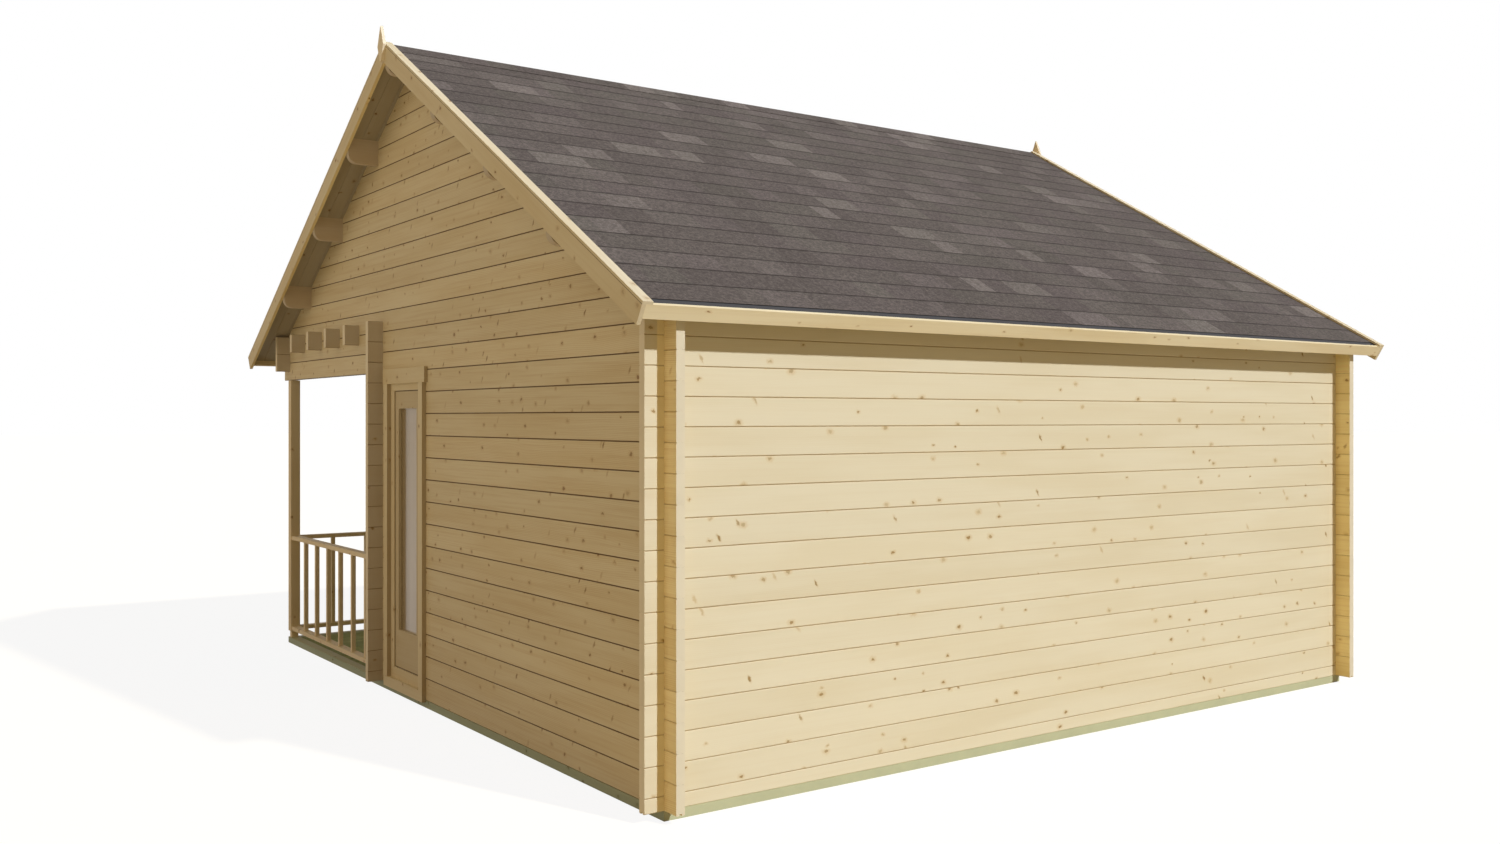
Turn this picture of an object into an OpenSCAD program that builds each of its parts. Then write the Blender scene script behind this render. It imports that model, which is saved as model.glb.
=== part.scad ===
// Log cabin with a covered veranda under one saddle roof, built of notched square logs.
// Millimetres. X runs along the ridge, -Y is the veranda side and Z is up from the ground.
// The origin is on the ground under the middle of the ridge.

/* [Logs] */
// height of one log course
log_height = 135; // [125:1:140]
// thickness of the logs
log_thickness = 45; // [40:1:50]
// how far a log runs on past the wall it crosses
log_overhang = 100; // [80:5:110]
// bevel along the long edges of a log
log_bevel = 4; // [2:0.5:6]
// width of the tongue on a log's top edge
tongue_width = 14; // [10:1:20]
// height of the tongue on a log's top edge
tongue_height = 8; // [5:0.5:12]

/* [Plan] */
// length over the outer faces of the two side walls
wall_length = 5325; // [4800:5:6000]
// ridge line to the outer face of the rear wall
rear_depth = 2910; // [2880:5:2960]
// ridge line to the outer face of the veranda's front beam
front_depth = 2755; // [2725:5:2790]
// ridge line to the veranda face of the front wall
room_front = 665; // [560:5:680]

/* [Base] */
// height of the foundation beams
base_height = 45; // [35:1:70]
// width of the foundation beams
base_width = 70; // [60:1:100]
// thickness of the veranda deck
deck_thickness = 26; // [18:1:30]
// thickness of the room's floor
floor_thickness = 19; // [16:1:28]

/* [Roof] */
// slope of both roof sides in degrees
roof_pitch = 30.3; // [28:0.1:32]
// rear wall to the lower end of the barge boards
eave_overhang = 190; // [150:5:260]
// side wall to the front of the barge boards
gable_overhang = 220; // [170:5:260]
// width of a purlin
purlin_width = 45; // [40:1:60]
// height of a purlin
purlin_height = 150; // [120:2:160]
// thickness of the roof boards
roof_board = 22; // [16:1:28]
// thickness of the shingle layer
shingle_layer = 8; // [5:0.5:12]
// height of a barge board across the slope
barge_height = 97; // [80:1:130]
// thickness of barge and fascia boards
barge_thickness = 20; // [16:1:26]
// height of a fascia board across the slope
fascia_height = 68; // [55:1:90]
// width of the batten that caps a barge board
cap_width = 52; // [42:1:70]
// thickness of that batten
cap_thickness = 14; // [10:1:20]
// height of a finial's tip over the ridge
finial_tip = 92; // [60:1:180]
// width of a finial at its shoulders
finial_width = 100; // [70:1:120]
// thickness of a finial
finial_thickness = 18; // [12:1:24]

/* [Veranda] */
// side of the square posts
post_size = 70; // [60:1:90]
// free height under the posts, taken by their feet
foot_height = 50; // [30:1:70]
// clear width of the entrance between the front posts
entrance_width = 1800; // [1000:10:2000]
// height of the railing above the deck
rail_height = 800; // [700:10:1000]
// side of the square balusters
baluster_size = 28; // [22:1:36]
// widest distance between balusters
baluster_pitch = 275; // [180:5:320]
// distance between veranda joists
joist_pitch = 413; // [380:1:425]

/* [Windows and doors] */
// width of the side window's hole in the logs
window_width = 559; // [500:1:640]
// ridge line to the middle of the side window
window_offset = -200.5; // [-220:0.5:0]
// width of the doors' hole in the logs
door_width = 1500; // [1300:10:1700]
// face width of the frame members
frame_face = 65; // [50:1:75]
// depth of the frames through the wall
frame_depth = 70; // [60:1:90]
// width of the cover boards around a hole
trim_width = 65; // [50:1:80]
// thickness of the cover boards
trim_thickness = 26; // [18:1:32]
// width of a window stile
window_stile = 60; // [45:1:75]
// width of a door stile
door_stile = 90; // [75:1:110]

/* [Hidden] */
WOOD = [0.86, 0.74, 0.52];
TREATED = [0.55, 0.57, 0.38];
ROOFING = [0.38, 0.36, 0.34];
GLAZING = [0.75, 0.82, 0.85, 0.4];

// clearance between pieces that lie on each other
gap = 0.3;
// courses that cross at the corners, from the half log at the bottom
eave_course = 17;
// course that carries the gable over the veranda
header_course = 15;
// courses up to the top of windows and doors
head_course = 14.5;
half_length = wall_length / 2;
side_inner = half_length - log_thickness;
head_z = base_height + head_course * log_height;
sill_z = base_height + log_height / 3;

// planes of the roof, measured down from the top of the cap battens
shingle_top = cap_thickness;
board_top = shingle_top + shingle_layer;
board_under = board_top + roof_board;
soffit_apex = base_height + (eave_course + 0.5) * log_height + 4 + front_depth * tan(roof_pitch);
cap_apex = soffit_apex + board_under / cos(roof_pitch);
slope_end = (rear_depth + eave_overhang) / cos(roof_pitch);
// back of the fascia, where shingles and boards end
fascia_back = slope_end - barge_thickness;
barge_x = half_length + gable_overhang;
roof_x = barge_x - barge_thickness - gap;
ridge_reach = 130;
ridge_sheet = 5;
// lower parts of a finial, under the ridge
finial_shoulder = 28;
finial_tail = 125;
finial_tail_width = 30;
// how far cutting bodies reach past what they cut
margin = 200;

// the last course that still reaches under the roof
gable_top = floor((soffit_apex - base_height - 20) / log_height);
front_top = floor((soffit(room_front) - base_height - 20) / log_height + 0.5);
rear_top = floor((soffit(rear_depth) - base_height - 10) / log_height + 0.5);

purlin_count = 3;
// free space between the front wall and the purlin next to it
purlin_clear = 40;
first_purlin = room_front + purlin_clear + purlin_width / 2;
purlin_step = (rear_depth - first_purlin) / purlin_count;
purlin_rows = [for (i = [0 : purlin_count - 1]) first_purlin + i * purlin_step];
purlin_lines = [for (side = [-1, 1], y = purlin_rows) side * y];
purlin_nose = 60;
// shortest log end that is kept beyond a purlin
short_end = 80;

// front beam's outer face to the first joist, and the free space kept before the front wall
first_joist = 385;
joist_clear = 100;
joist_span = front_depth - room_front - first_joist - log_thickness - joist_clear;
joist_lines = [for (i = [0 : floor(joist_span / joist_pitch)]) first_joist - front_depth + i * joist_pitch];

// every wall, beam and joist that crosses the side walls: lower Y face, first and last course
crossings = concat(
    [[rear_depth - log_thickness, 0, eave_course],
     [-room_front, 0, eave_course],
     [-front_depth, eave_course - 1, eave_course]],
    [for (y = joist_lines) [y, eave_course, eave_course]]);

post_y = post_size / 2 - front_depth;
corner_post_x = half_length - post_size / 2;
front_post_x = entrance_width / 2 + post_size / 2;
foot_size = 50;
rail_width = 60;
rail_thickness = 30;
low_rail = 58;
front_end = room_front + log_overhang;

trim_overlap = 10;
head_trim = 95;
head_trim_reach = 26;
head_trim_thickness = 22;
window_sill = 79;
door_sill = 30;
frame_head = 54;
leaf_recess = 9;
leaf_depth = 42;
top_rail = 115;
low_panel = 245;
pane = 4;
pane_edge = 8;

// height of the roof's underside at a distance from the ridge line
function soffit(y) = soffit_apex - abs(y) * tan(roof_pitch);

// point on the rear slope: distance down the slope, depth under the cap's top
function on_slope(s, d) = [s * cos(roof_pitch) - d * sin(roof_pitch),
                           cap_apex - s * sin(roof_pitch) - d * cos(roof_pitch)];

function purlin_bottom(y) = soffit(y) - purlin_height;

// bottom of a course in the side walls, which start with a whole log
function side_z(k) = base_height + k * log_height;

// middle of a course in the long walls, which start with half a log
function long_z(n) = base_height + n * log_height;

module box(low, high) {
    translate(low) cube(high - low);
}

module both_sides() {
    children();
    mirror([1, 0, 0]) children();
}

// prism of the space under the roof boards
module roof_space() {
    reach = rear_depth + eave_overhang + margin;
    rotate([90, 0, 90]) linear_extrude(2 * (barge_x + margin), center = true)
        polygon([[-reach, -margin], [reach, -margin], [reach, soffit(reach) - gap],
                 [0, soffit_apex - gap], [-reach, soffit(reach) - gap]]);
}

module under_roof(cut) {
    if (cut) intersection() { children(); roof_space(); }
    else children();
}

// cross-section of a log with bevelled edges, a tongue on top and a groove for the one below
module log_section(height, tongue, groove) {
    b = log_bevel;
    t = log_thickness;
    tongue_l = (t - tongue_width) / 2;
    tongue_r = (t + tongue_width) / 2;
    low = groove ? [[tongue_l - gap, 0], [tongue_l - gap, tongue_height],
                    [tongue_r + gap, tongue_height], [tongue_r + gap, 0]] : [];
    high = tongue ? [[tongue_r, height], [tongue_r, height + tongue_height],
                     [tongue_l, height + tongue_height], [tongue_l, height]] : [];
    polygon(concat([[0, b], [b, 0]], low, [[t - b, 0], [t, b], [t, height - b], [t - b, height]], high,
                   [[b, height], [0, height - b]]));
}

module log_x(x0, x1, y, z0, z1, tongue = true, groove = true) {
    translate([x0, y, z0 + gap / 2]) rotate([90, 0, 90])
        linear_extrude(x1 - x0) log_section(z1 - z0 - gap, tongue, groove);
}

module log_y(y0, y1, x, z0, z1) {
    translate([x, y1, z0 + gap / 2]) rotate([90, 0, 0])
        linear_extrude(y1 - y0) log_section(z1 - z0 - gap, true, true);
}

// notches of a long log where the side walls cross it, a quarter of its height each
module long_notches(n, y, below) {
    z = long_z(n);
    quarter = log_height / 4;
    both_sides() {
        if (below) box([side_inner - gap, y - 1, z - 2 * quarter - 1],
                       [half_length + gap, y + log_thickness + 1, z - quarter + gap / 2]);
        box([side_inner - gap, y - 1, z + quarter - gap / 2],
            [half_length + gap, y + log_thickness + 1, z + 2 * quarter + tongue_height + 1]);
    }
}

// a long log that crosses both side walls
module crossing_log(n, y, below = true, tongue = true, groove = true) {
    reach = half_length + log_overhang;
    low = max(long_z(n) - log_height / 2, base_height);
    difference() {
        log_x(-reach, reach, y, low, long_z(n) + log_height / 2, tongue, groove);
        long_notches(n, y, below);
    }
}

// notches of a side log where the long walls, the beam and the joists cross it
module side_notches(k) {
    z = side_z(k);
    quarter = log_height / 4;
    for (c = crossings) {
        if (c[1] <= k && k <= c[2])
            box([side_inner - 1, c[0] - gap, z - 1],
                [half_length + 1, c[0] + log_thickness + gap, z + quarter + gap / 2]);
        if (c[1] <= k + 1 && k + 1 <= c[2])
            box([side_inner - 1, c[0] - gap, z + 3 * quarter - gap / 2],
                [half_length + 1, c[0] + log_thickness + gap, z + log_height + tongue_height + 1]);
    }
}

// slots of a gable log for the purlins
module purlin_slots(k) {
    z = side_z(k);
    reach = (soffit_apex - z) / tan(roof_pitch);
    w = purlin_width / 2 + gap;
    for (y = purlin_lines)
        if (z < soffit(abs(y) - w) && z + log_height > purlin_bottom(y)) {
            short = reach - abs(y) - w < short_end;
            outer = short ? max(reach, abs(y) + w) + 20 : abs(y) + w;
            mirror([0, y < 0 ? 1 : 0, 0])
                box([side_inner - 1, abs(y) - w, purlin_bottom(y) - gap],
                    [half_length + 1, outer, soffit_apex]);
        }
    if (z + log_height > purlin_bottom(0))
        box([side_inner - 1, -w, purlin_bottom(0) - gap], [half_length + 1, w, cap_apex]);
}

module window_hole() {
    box([side_inner - 1, window_offset - window_width / 2, sill_z],
        [half_length + 1, window_offset + window_width / 2, head_z]);
}

module foundation_beams() color(TREATED) {
    both_sides() box([half_length - base_width, -front_depth, 0], [half_length, rear_depth, base_height]);
    end = half_length - base_width - gap;
    mid = -room_front + log_thickness / 2;
    box([-end, rear_depth - base_width, 0], [end, rear_depth, base_height]);
    box([-end, mid - base_width / 2, 0], [end, mid + base_width / 2, base_height]);
    box([-end, -front_depth, 0], [end, base_width - front_depth, base_height]);
}

module floor_bearers() color(TREATED) {
    count = 9;
    span = wall_length - 2 * base_width - 60;
    mid = -room_front + log_thickness / 2;
    for (i = [0 : count - 1]) {
        x = -span / 2 + i * (span - 45) / (count - 1);
        box([x, base_width - front_depth + gap, 0],
            [x + 45, mid - base_width / 2 - gap, base_height - deck_thickness - gap]);
        box([x, mid + base_width / 2 + gap, 0],
            [x + 45, rear_depth - base_width - gap, base_height - floor_thickness - gap]);
    }
}

module room_floor() color(WOOD) {
    end = half_length - base_width - gap;
    mid = -room_front + log_thickness / 2;
    box([-end, mid + base_width / 2 + gap, base_height - floor_thickness],
        [end, rear_depth - base_width - gap, base_height]);
}

module veranda_deck() color(TREATED) {
    end = half_length - base_width - gap;
    mid = -room_front + log_thickness / 2;
    box([-end, base_width - front_depth + gap, base_height - deck_thickness],
        [end, mid - base_width / 2 - gap, base_height]);
}

module rear_wall() color(WOOD)
    for (n = [0 : rear_top]) under_roof(n >= eave_course - 1)
        crossing_log(n, rear_depth - log_thickness, below = n > 0, tongue = n < rear_top);

module front_wall() color(WOOD) {
    for (n = [0 : eave_course]) difference() {
        crossing_log(n, -room_front, below = n > 0, tongue = n < eave_course);
        if (n < head_course)
            box([-door_width / 2, -room_front - 1, sill_z],
                [door_width / 2, log_thickness - room_front + 1, head_z + tongue_height + 1]);
    }
    for (n = [eave_course + 1 : front_top]) under_roof(n >= front_top - 1)
        log_x(gap - side_inner, side_inner - gap, -room_front, long_z(n - 0.5), long_z(n + 0.5));
}

module right_side_wall() color(WOOD)
    for (k = [0 : header_course - 1]) difference() {
        log_y(-front_end, rear_depth + log_overhang, side_inner, side_z(k), side_z(k + 1));
        side_notches(k);
        window_hole();
    }

module left_side_wall() mirror([1, 0, 0]) right_side_wall();

module right_gable() color(WOOD)
    for (k = [header_course : gable_top]) under_roof(k > header_course) difference() {
        log_y(-front_depth - log_overhang, rear_depth + log_overhang, side_inner, side_z(k), side_z(k + 1));
        side_notches(k);
        purlin_slots(k);
    }

module left_gable() mirror([1, 0, 0]) right_gable();

module front_beam() color(WOOD)
    for (top = [false, true]) under_roof(top)
        crossing_log(top ? eave_course : eave_course - 1, -front_depth, tongue = !top, groove = top);

module veranda_joists() color(WOOD)
    for (y = joist_lines) crossing_log(eave_course, y, tongue = false, groove = false);

module post(x, top) {
    translate([x, post_y, 0]) box([-post_size / 2, -post_size / 2, base_height + foot_height],
                                  [post_size / 2, post_size / 2, top - gap]);
}

module corner_posts() color(WOOD)
    both_sides() post(corner_post_x, side_z(header_course));

module front_posts() color(WOOD)
    both_sides() post(front_post_x, long_z(eave_course - 1.5));

module post_feet() color(WOOD)
    for (x = [corner_post_x, front_post_x]) both_sides()
        box([x - foot_size / 2, post_y - foot_size / 2, base_height],
            [x + foot_size / 2, post_y + foot_size / 2, base_height + foot_height - gap]);

// railing along X from 0 to its length, on the deck's level
module railing(length) {
    bays = ceil(length / baluster_pitch);
    for (z = [low_rail, rail_height - rail_thickness])
        box([0, -rail_width / 2, z], [length, rail_width / 2, z + rail_thickness]);
    for (i = [1 : bays - 1]) translate([i * length / bays, 0, 0])
        box([-baluster_size / 2, -baluster_size / 2, low_rail + rail_thickness / 2],
            [baluster_size / 2, baluster_size / 2, rail_height - rail_thickness / 2]);
}

module right_side_railing() color(WOOD)
    translate([corner_post_x, post_size - front_depth + gap, base_height]) rotate([0, 0, 90])
        railing(front_depth - post_size - front_end - 2 * gap);

module left_side_railing() mirror([1, 0, 0]) right_side_railing();

module right_front_railing() color(WOOD)
    translate([front_post_x + post_size / 2 + gap, post_y, base_height])
        railing(half_length - front_post_x - 1.5 * post_size - 2 * gap);

module left_front_railing() mirror([1, 0, 0]) right_front_railing();

// purlin with its top cut to the roof and the lower corner of each end rounded
module purlin(y) {
    z = purlin_bottom(y);
    difference() {
        intersection() {
            box([-roof_x, y - purlin_width / 2, z], [roof_x, y + purlin_width / 2, cap_apex]);
            roof_space();
        }
        both_sides() translate([roof_x - purlin_nose, y, z + purlin_nose]) difference() {
            box([0, -purlin_width, -purlin_nose - 1], [purlin_nose + 1, purlin_width, 0]);
            rotate([90, 0, 0]) cylinder(r = purlin_nose, h = 3 * purlin_width, center = true, $fn = 48);
        }
    }
}

module ridge_purlin() color(WOOD) purlin(0);

module rear_purlins() color(WOOD)
    for (y = purlin_rows) purlin(y);

module front_purlins() mirror([0, 1, 0]) rear_purlins();

// sheet on the rear slope between two depths, from the ridge to a distance down the slope
module slope_sheet(d0, d1, end, x0, x1) {
    t = tan(roof_pitch);
    translate([x0, 0, 0]) rotate([90, 0, 90]) linear_extrude(x1 - x0)
        polygon([on_slope(d0 * t + gap, d0), on_slope(end, d0),
                 on_slope(end, d1), on_slope(d1 * t + gap, d1)]);
}

module rear_roof_boards() color(WOOD)
    slope_sheet(board_top + gap, board_under, fascia_back - gap, -roof_x, roof_x);

module front_roof_boards() mirror([0, 1, 0]) rear_roof_boards();

module rear_shingles() color(ROOFING)
    slope_sheet(shingle_top + gap, board_top, fascia_back - gap, -roof_x, roof_x);

module front_shingles() mirror([0, 1, 0]) rear_shingles();

module ridge_cap() color(ROOFING) {
    end = barge_x - cap_width - gap;
    for (m = [0, 1]) mirror([0, m, 0])
        slope_sheet(shingle_top - ridge_sheet, shingle_top, ridge_reach, -end, end);
}

module right_barge_boards() color(WOOD)
    for (m = [0, 1]) mirror([0, m, 0])
        slope_sheet(cap_thickness + gap, cap_thickness + barge_height, slope_end,
                    barge_x - barge_thickness, barge_x);

module left_barge_boards() mirror([1, 0, 0]) right_barge_boards();

module right_barge_caps() color(WOOD)
    for (m = [0, 1]) mirror([0, m, 0])
        slope_sheet(0, cap_thickness, slope_end, barge_x - cap_width, barge_x);

module left_barge_caps() mirror([1, 0, 0]) right_barge_caps();

module rear_fascia() color(WOOD) {
    top = cap_thickness + gap;
    bottom = cap_thickness + fascia_height;
    translate([-roof_x, 0, 0]) rotate([90, 0, 90]) linear_extrude(2 * roof_x)
        polygon([on_slope(fascia_back, top), on_slope(slope_end, top),
                 on_slope(slope_end, bottom), on_slope(fascia_back, bottom)]);
}

module front_fascia() mirror([0, 1, 0]) rear_fascia();

module finials() color(WOOD) {
    w = finial_width / 2;
    t = finial_tail_width / 2;
    both_sides() translate([barge_x + gap, 0, cap_apex]) rotate([90, 0, 90]) linear_extrude(finial_thickness)
        polygon([[0, finial_tip], [-w, -finial_shoulder], [-t, -finial_tail],
                 [t, -finial_tail], [w, -finial_shoulder]]);
}

// cover boards around a hole, lying on the plane Z = 0 with the hole's middle at X = 0
module trim(width, low, high, sill) {
    inner = width / 2 - trim_overlap;
    outer = inner + trim_width;
    reach = outer + head_trim_reach;
    for (s = [-1, 1]) box([s > 0 ? inner : -outer, low + (sill ? gap : 0), 0],
                          [s > 0 ? outer : -inner, high - trim_overlap - gap, trim_thickness]);
    box([-reach, high - trim_overlap, 0], [reach, high - trim_overlap + head_trim, head_trim_thickness]);
    if (sill) box([-outer, low - trim_width, 0], [outer, low, trim_thickness]);
}

// frame in a hole, its face on the plane Z = 0 and its depth behind it
module frame(width, low, high, sill) {
    w = width / 2 - gap;
    difference() {
        box([-w, low + gap, -frame_depth], [w, high - gap, 0]);
        box([frame_face - w, low + sill, -frame_depth - 1], [w - frame_face, high - frame_head, 1]);
    }
}

// glazed leaf, its outer face on the plane Z = 0
module leaf(width, height, stile) {
    difference() {
        box([0, 0, -leaf_depth], [width, height, 0]);
        box([stile, low_panel, -leaf_depth - 1], [width - stile, height - top_rail, 1]);
        leaf_pane(width, height, stile, gap);
    }
}

module leaf_pane(width, height, stile, clear) {
    e = pane_edge + clear;
    box([stile - e, low_panel - e, -leaf_depth / 2 - pane / 2 - clear],
        [width - stile + e, height - top_rail + e, -leaf_depth / 2 + pane / 2 + clear]);
}

// stands a piece drawn in a plane up on the outside of the right side wall
module on_right_side() {
    translate([half_length, window_offset, 0]) rotate([90, 0, 90]) children();
}

// stands a piece drawn in a plane up on the veranda face of the front wall
module on_front() {
    translate([0, -room_front, 0]) rotate([90, 0, 0]) children();
}

window_leaf_width = window_width - 2 * frame_face - 4 * gap;
window_leaf_low = sill_z + window_sill + gap;
leaf_high = head_z - frame_head - gap;
door_leaf_width = (door_width - 2 * frame_face - 5 * gap) / 2;
door_leaf_low = sill_z + door_sill + gap;

module right_window_trim() color(WOOD)
    on_right_side() translate([0, 0, gap]) trim(window_width, sill_z + trim_overlap, head_z, true);

module left_window_trim() mirror([1, 0, 0]) right_window_trim();

module right_window_frame() color(WOOD)
    on_right_side() frame(window_width, sill_z, head_z, window_sill);

module left_window_frame() mirror([1, 0, 0]) right_window_frame();

module right_window_sash() color(WOOD)
    on_right_side() translate([-window_leaf_width / 2, window_leaf_low, -leaf_recess])
        leaf(window_leaf_width, leaf_high - window_leaf_low, window_stile);

module left_window_sash() mirror([1, 0, 0]) right_window_sash();

module window_glass() color(GLAZING)
    both_sides() on_right_side() translate([-window_leaf_width / 2, window_leaf_low, -leaf_recess])
        leaf_pane(window_leaf_width, leaf_high - window_leaf_low, window_stile, 0);

module door_trim() color(WOOD)
    on_front() translate([0, 0, gap]) trim(door_width, base_height + gap, head_z, false);

module door_frame() color(WOOD)
    on_front() frame(door_width, sill_z, head_z, door_sill);

module door_leaves() color(WOOD)
    both_sides() on_front() translate([gap, door_leaf_low, -leaf_recess])
        leaf(door_leaf_width, leaf_high - door_leaf_low, door_stile);

module door_glass() color(GLAZING)
    both_sides() on_front() translate([gap, door_leaf_low, -leaf_recess])
        leaf_pane(door_leaf_width, leaf_high - door_leaf_low, door_stile, 0);

foundation_beams();
floor_bearers();
room_floor();
veranda_deck();
rear_wall();
front_wall();
right_side_wall();
left_side_wall();
right_gable();
left_gable();
front_beam();
veranda_joists();
corner_posts();
front_posts();
post_feet();
right_side_railing();
left_side_railing();
right_front_railing();
left_front_railing();
ridge_purlin();
rear_purlins();
front_purlins();
rear_roof_boards();
front_roof_boards();
rear_shingles();
front_shingles();
ridge_cap();
right_barge_boards();
left_barge_boards();
right_barge_caps();
left_barge_caps();
rear_fascia();
front_fascia();
finials();
right_window_trim();
left_window_trim();
right_window_frame();
left_window_frame();
right_window_sash();
left_window_sash();
window_glass();
door_trim();
door_frame();
door_leaves();
door_glass();
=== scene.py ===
import math
import random
from collections import namedtuple

import bmesh
import bpy
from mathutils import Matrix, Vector


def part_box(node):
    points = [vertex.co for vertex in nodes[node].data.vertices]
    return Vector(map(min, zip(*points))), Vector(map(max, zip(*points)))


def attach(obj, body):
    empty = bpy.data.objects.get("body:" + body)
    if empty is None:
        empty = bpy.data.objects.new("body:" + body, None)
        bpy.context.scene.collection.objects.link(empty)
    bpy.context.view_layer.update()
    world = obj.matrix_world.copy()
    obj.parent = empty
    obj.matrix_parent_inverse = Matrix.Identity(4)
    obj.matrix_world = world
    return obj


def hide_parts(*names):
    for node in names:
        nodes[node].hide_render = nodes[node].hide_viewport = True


# A log cabin with a veranda: finishes for its CAD pieces, and the shingles and boards of its plain sheets
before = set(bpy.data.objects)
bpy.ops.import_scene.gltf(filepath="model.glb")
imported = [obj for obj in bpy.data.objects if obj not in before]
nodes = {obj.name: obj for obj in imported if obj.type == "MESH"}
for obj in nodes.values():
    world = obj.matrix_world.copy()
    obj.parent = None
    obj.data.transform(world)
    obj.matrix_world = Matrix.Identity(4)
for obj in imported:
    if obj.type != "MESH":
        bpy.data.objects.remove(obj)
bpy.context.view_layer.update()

# Driving sizes, in metres and radians
PITCH = math.radians(30.3)
LOG_HEIGHT = 0.135

# Depths under the top of the cap battens, square to the slope
RIDGE_CAP_TOP = 0.009
SHINGLE_TOP = 0.0143
BOARD_TOP = 0.0223
BOARD_UNDER = 0.044


def slope_reach(node, depth):
    """How far down the slope a node's lower edge lies, where that edge is at a depth."""
    return (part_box(node)[1][1] + depth * math.sin(PITCH)) / math.cos(PITCH)


BASE_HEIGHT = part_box("foundation_beams")[1][2]
REAR_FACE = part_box("rear_wall")[1][1]
SIDE_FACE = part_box("right_side_wall")[1][0]
RIDGE_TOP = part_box("right_barge_caps")[1][2]
ROOF_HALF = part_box("rear_shingles")[1][0]
RIDGE_CAP_EDGE = slope_reach("ridge_cap", RIDGE_CAP_TOP)
SHINGLE_EDGE = slope_reach("rear_shingles", SHINGLE_TOP)
BOARD_EDGE = slope_reach("rear_roof_boards", BOARD_TOP)

# Linear colours of a kind of wood: two ground tones, growth lines, knots and sawn ends
Tones = namedtuple("Tones", "light mid late knot end")


def toned(tones, red, green, blue):
    """A set of colours times one tone."""
    return Tones(*[(r * red, g * green, b * blue) for r, g, b in tones])


PINE = Tones(light=(0.81, 0.71, 0.49), mid=(0.75, 0.63, 0.40), late=(0.60, 0.43, 0.21),
             knot=(0.28, 0.155, 0.06), end=(0.76, 0.665, 0.46))
BRIGHT = Tones(light=(0.775, 0.685, 0.465), mid=(0.745, 0.645, 0.42), late=(0.62, 0.43, 0.17),
               knot=(0.30, 0.175, 0.045), end=(0.92, 0.82, 0.63))
GREEN = Tones(light=(0.64, 0.63, 0.40), mid=(0.58, 0.57, 0.35), late=(0.46, 0.45, 0.25),
              knot=(0.24, 0.20, 0.07), end=(0.52, 0.52, 0.305))
DECK = Tones(light=(0.42, 0.46, 0.17), mid=(0.32, 0.36, 0.12), late=(0.14, 0.18, 0.04),
             knot=(0.14, 0.18, 0.04), end=(0.32, 0.36, 0.12))
PURLIN = toned(PINE, 0.80, 0.78, 0.86)
# A lighter copy of pine for the posts, finials and rails: painted light
PINE_PAINTED_LIGHT = toned(PINE, 1.19, 1.18, 1.24)
# A lighter copy for the fascia boards, which face down: painted light
FASCIA_PAINTED_LIGHT = toned(PINE, 1.14, 1.13, 1.06)
# A darker copy for the window leaves, set back in their frames: painted shade
LEAF_PAINTED_SHADE = toned(PINE, 0.82, 0.80, 0.78)
# A darker copy for the boards under the roof: painted shade
CEILING_PAINTED_SHADE = toned(PINE, 0.56, 0.565, 0.60)

# Colours of joint lines
JOINT_DARK = (0.10, 0.055, 0.02)
JOINT_BROWN = (0.13, 0.062, 0.015)
JOINT_GOLD = (0.36, 0.21, 0.07)

# Tones that some faces are multiplied by: painted bounce light, painted shade and none; and the share of the
# joint lines kept under the bounce
PAINTED_BOUNCE = (1.23, 1.18, 0.98)
PAINTED_BOUNCE_DEEP = (1.23, 1.16, 0.82)
OVERHANG_SHADE = (0.81, 0.81, 0.95)
TRIM_SIDE_SHADE = (0.62, 0.57, 0.52)
BASE_SIDE_SHADE = (0.66, 0.74, 0.80)
NO_TONE = (1.0, 1.0, 1.0)
BOUNCE_LINES_KEPT = 0.25

# How far a face looks along an axis, from 0 to 1, where it starts to count and counts in full
SQUARE_ON = (0.6, 0.9)
HALF_ON = (0.3, 0.6)
UNDERSIDE = (0.6, 0.8)

# A face attribute with the tone of each board or tab, and its marks for other faces of shingles
TONE_ATTRIBUTE = "piece_tone"
LOWER_EDGE = -1.0
STARTER = -2.0

# A noise texture: marks per metre along three axes, detail and roughness
Noise = namedtuple("Noise", "scale detail roughness", defaults=[0.5])

# Places of the colours among a Mix node's inputs, and of the mixed one among its outputs
MIX_FIRST = 6
MIX_SECOND = 7
MIX_RESULT = 2


class NodeTree:
    """A node tree, with short ways to add nodes to it."""

    def __init__(self, tree):
        self.tree = tree

    def put(self, socket, value):
        """Links a socket to another one, or sets its value."""
        if isinstance(value, bpy.types.NodeSocket):
            self.tree.links.new(value, socket)
        else:
            socket.default_value = value

    def add(self, kind, inputs=None, **settings):
        """A new node, with its inputs given by name or number."""
        made = self.tree.nodes.new("ShaderNode" + kind)
        for key, value in settings.items():
            setattr(made, key, value)
        for key, value in (inputs or {}).items():
            self.put(made.inputs[key], value)
        return made

    def math(self, operation, a, b=0.0, c=0.0):
        return self.add("Math", {0: a, 1: b, 2: c}, operation=operation).outputs[0]

    def seen(self):
        """1 for rays that show a surface or the background, 0 for those that light the object."""
        rays = self.add("LightPath").outputs
        mirrored = self.math("MAXIMUM", rays["Is Glossy Ray"], rays["Is Transmission Ray"])
        return self.math("MAXIMUM", rays["Is Camera Ray"], mirrored)


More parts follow.
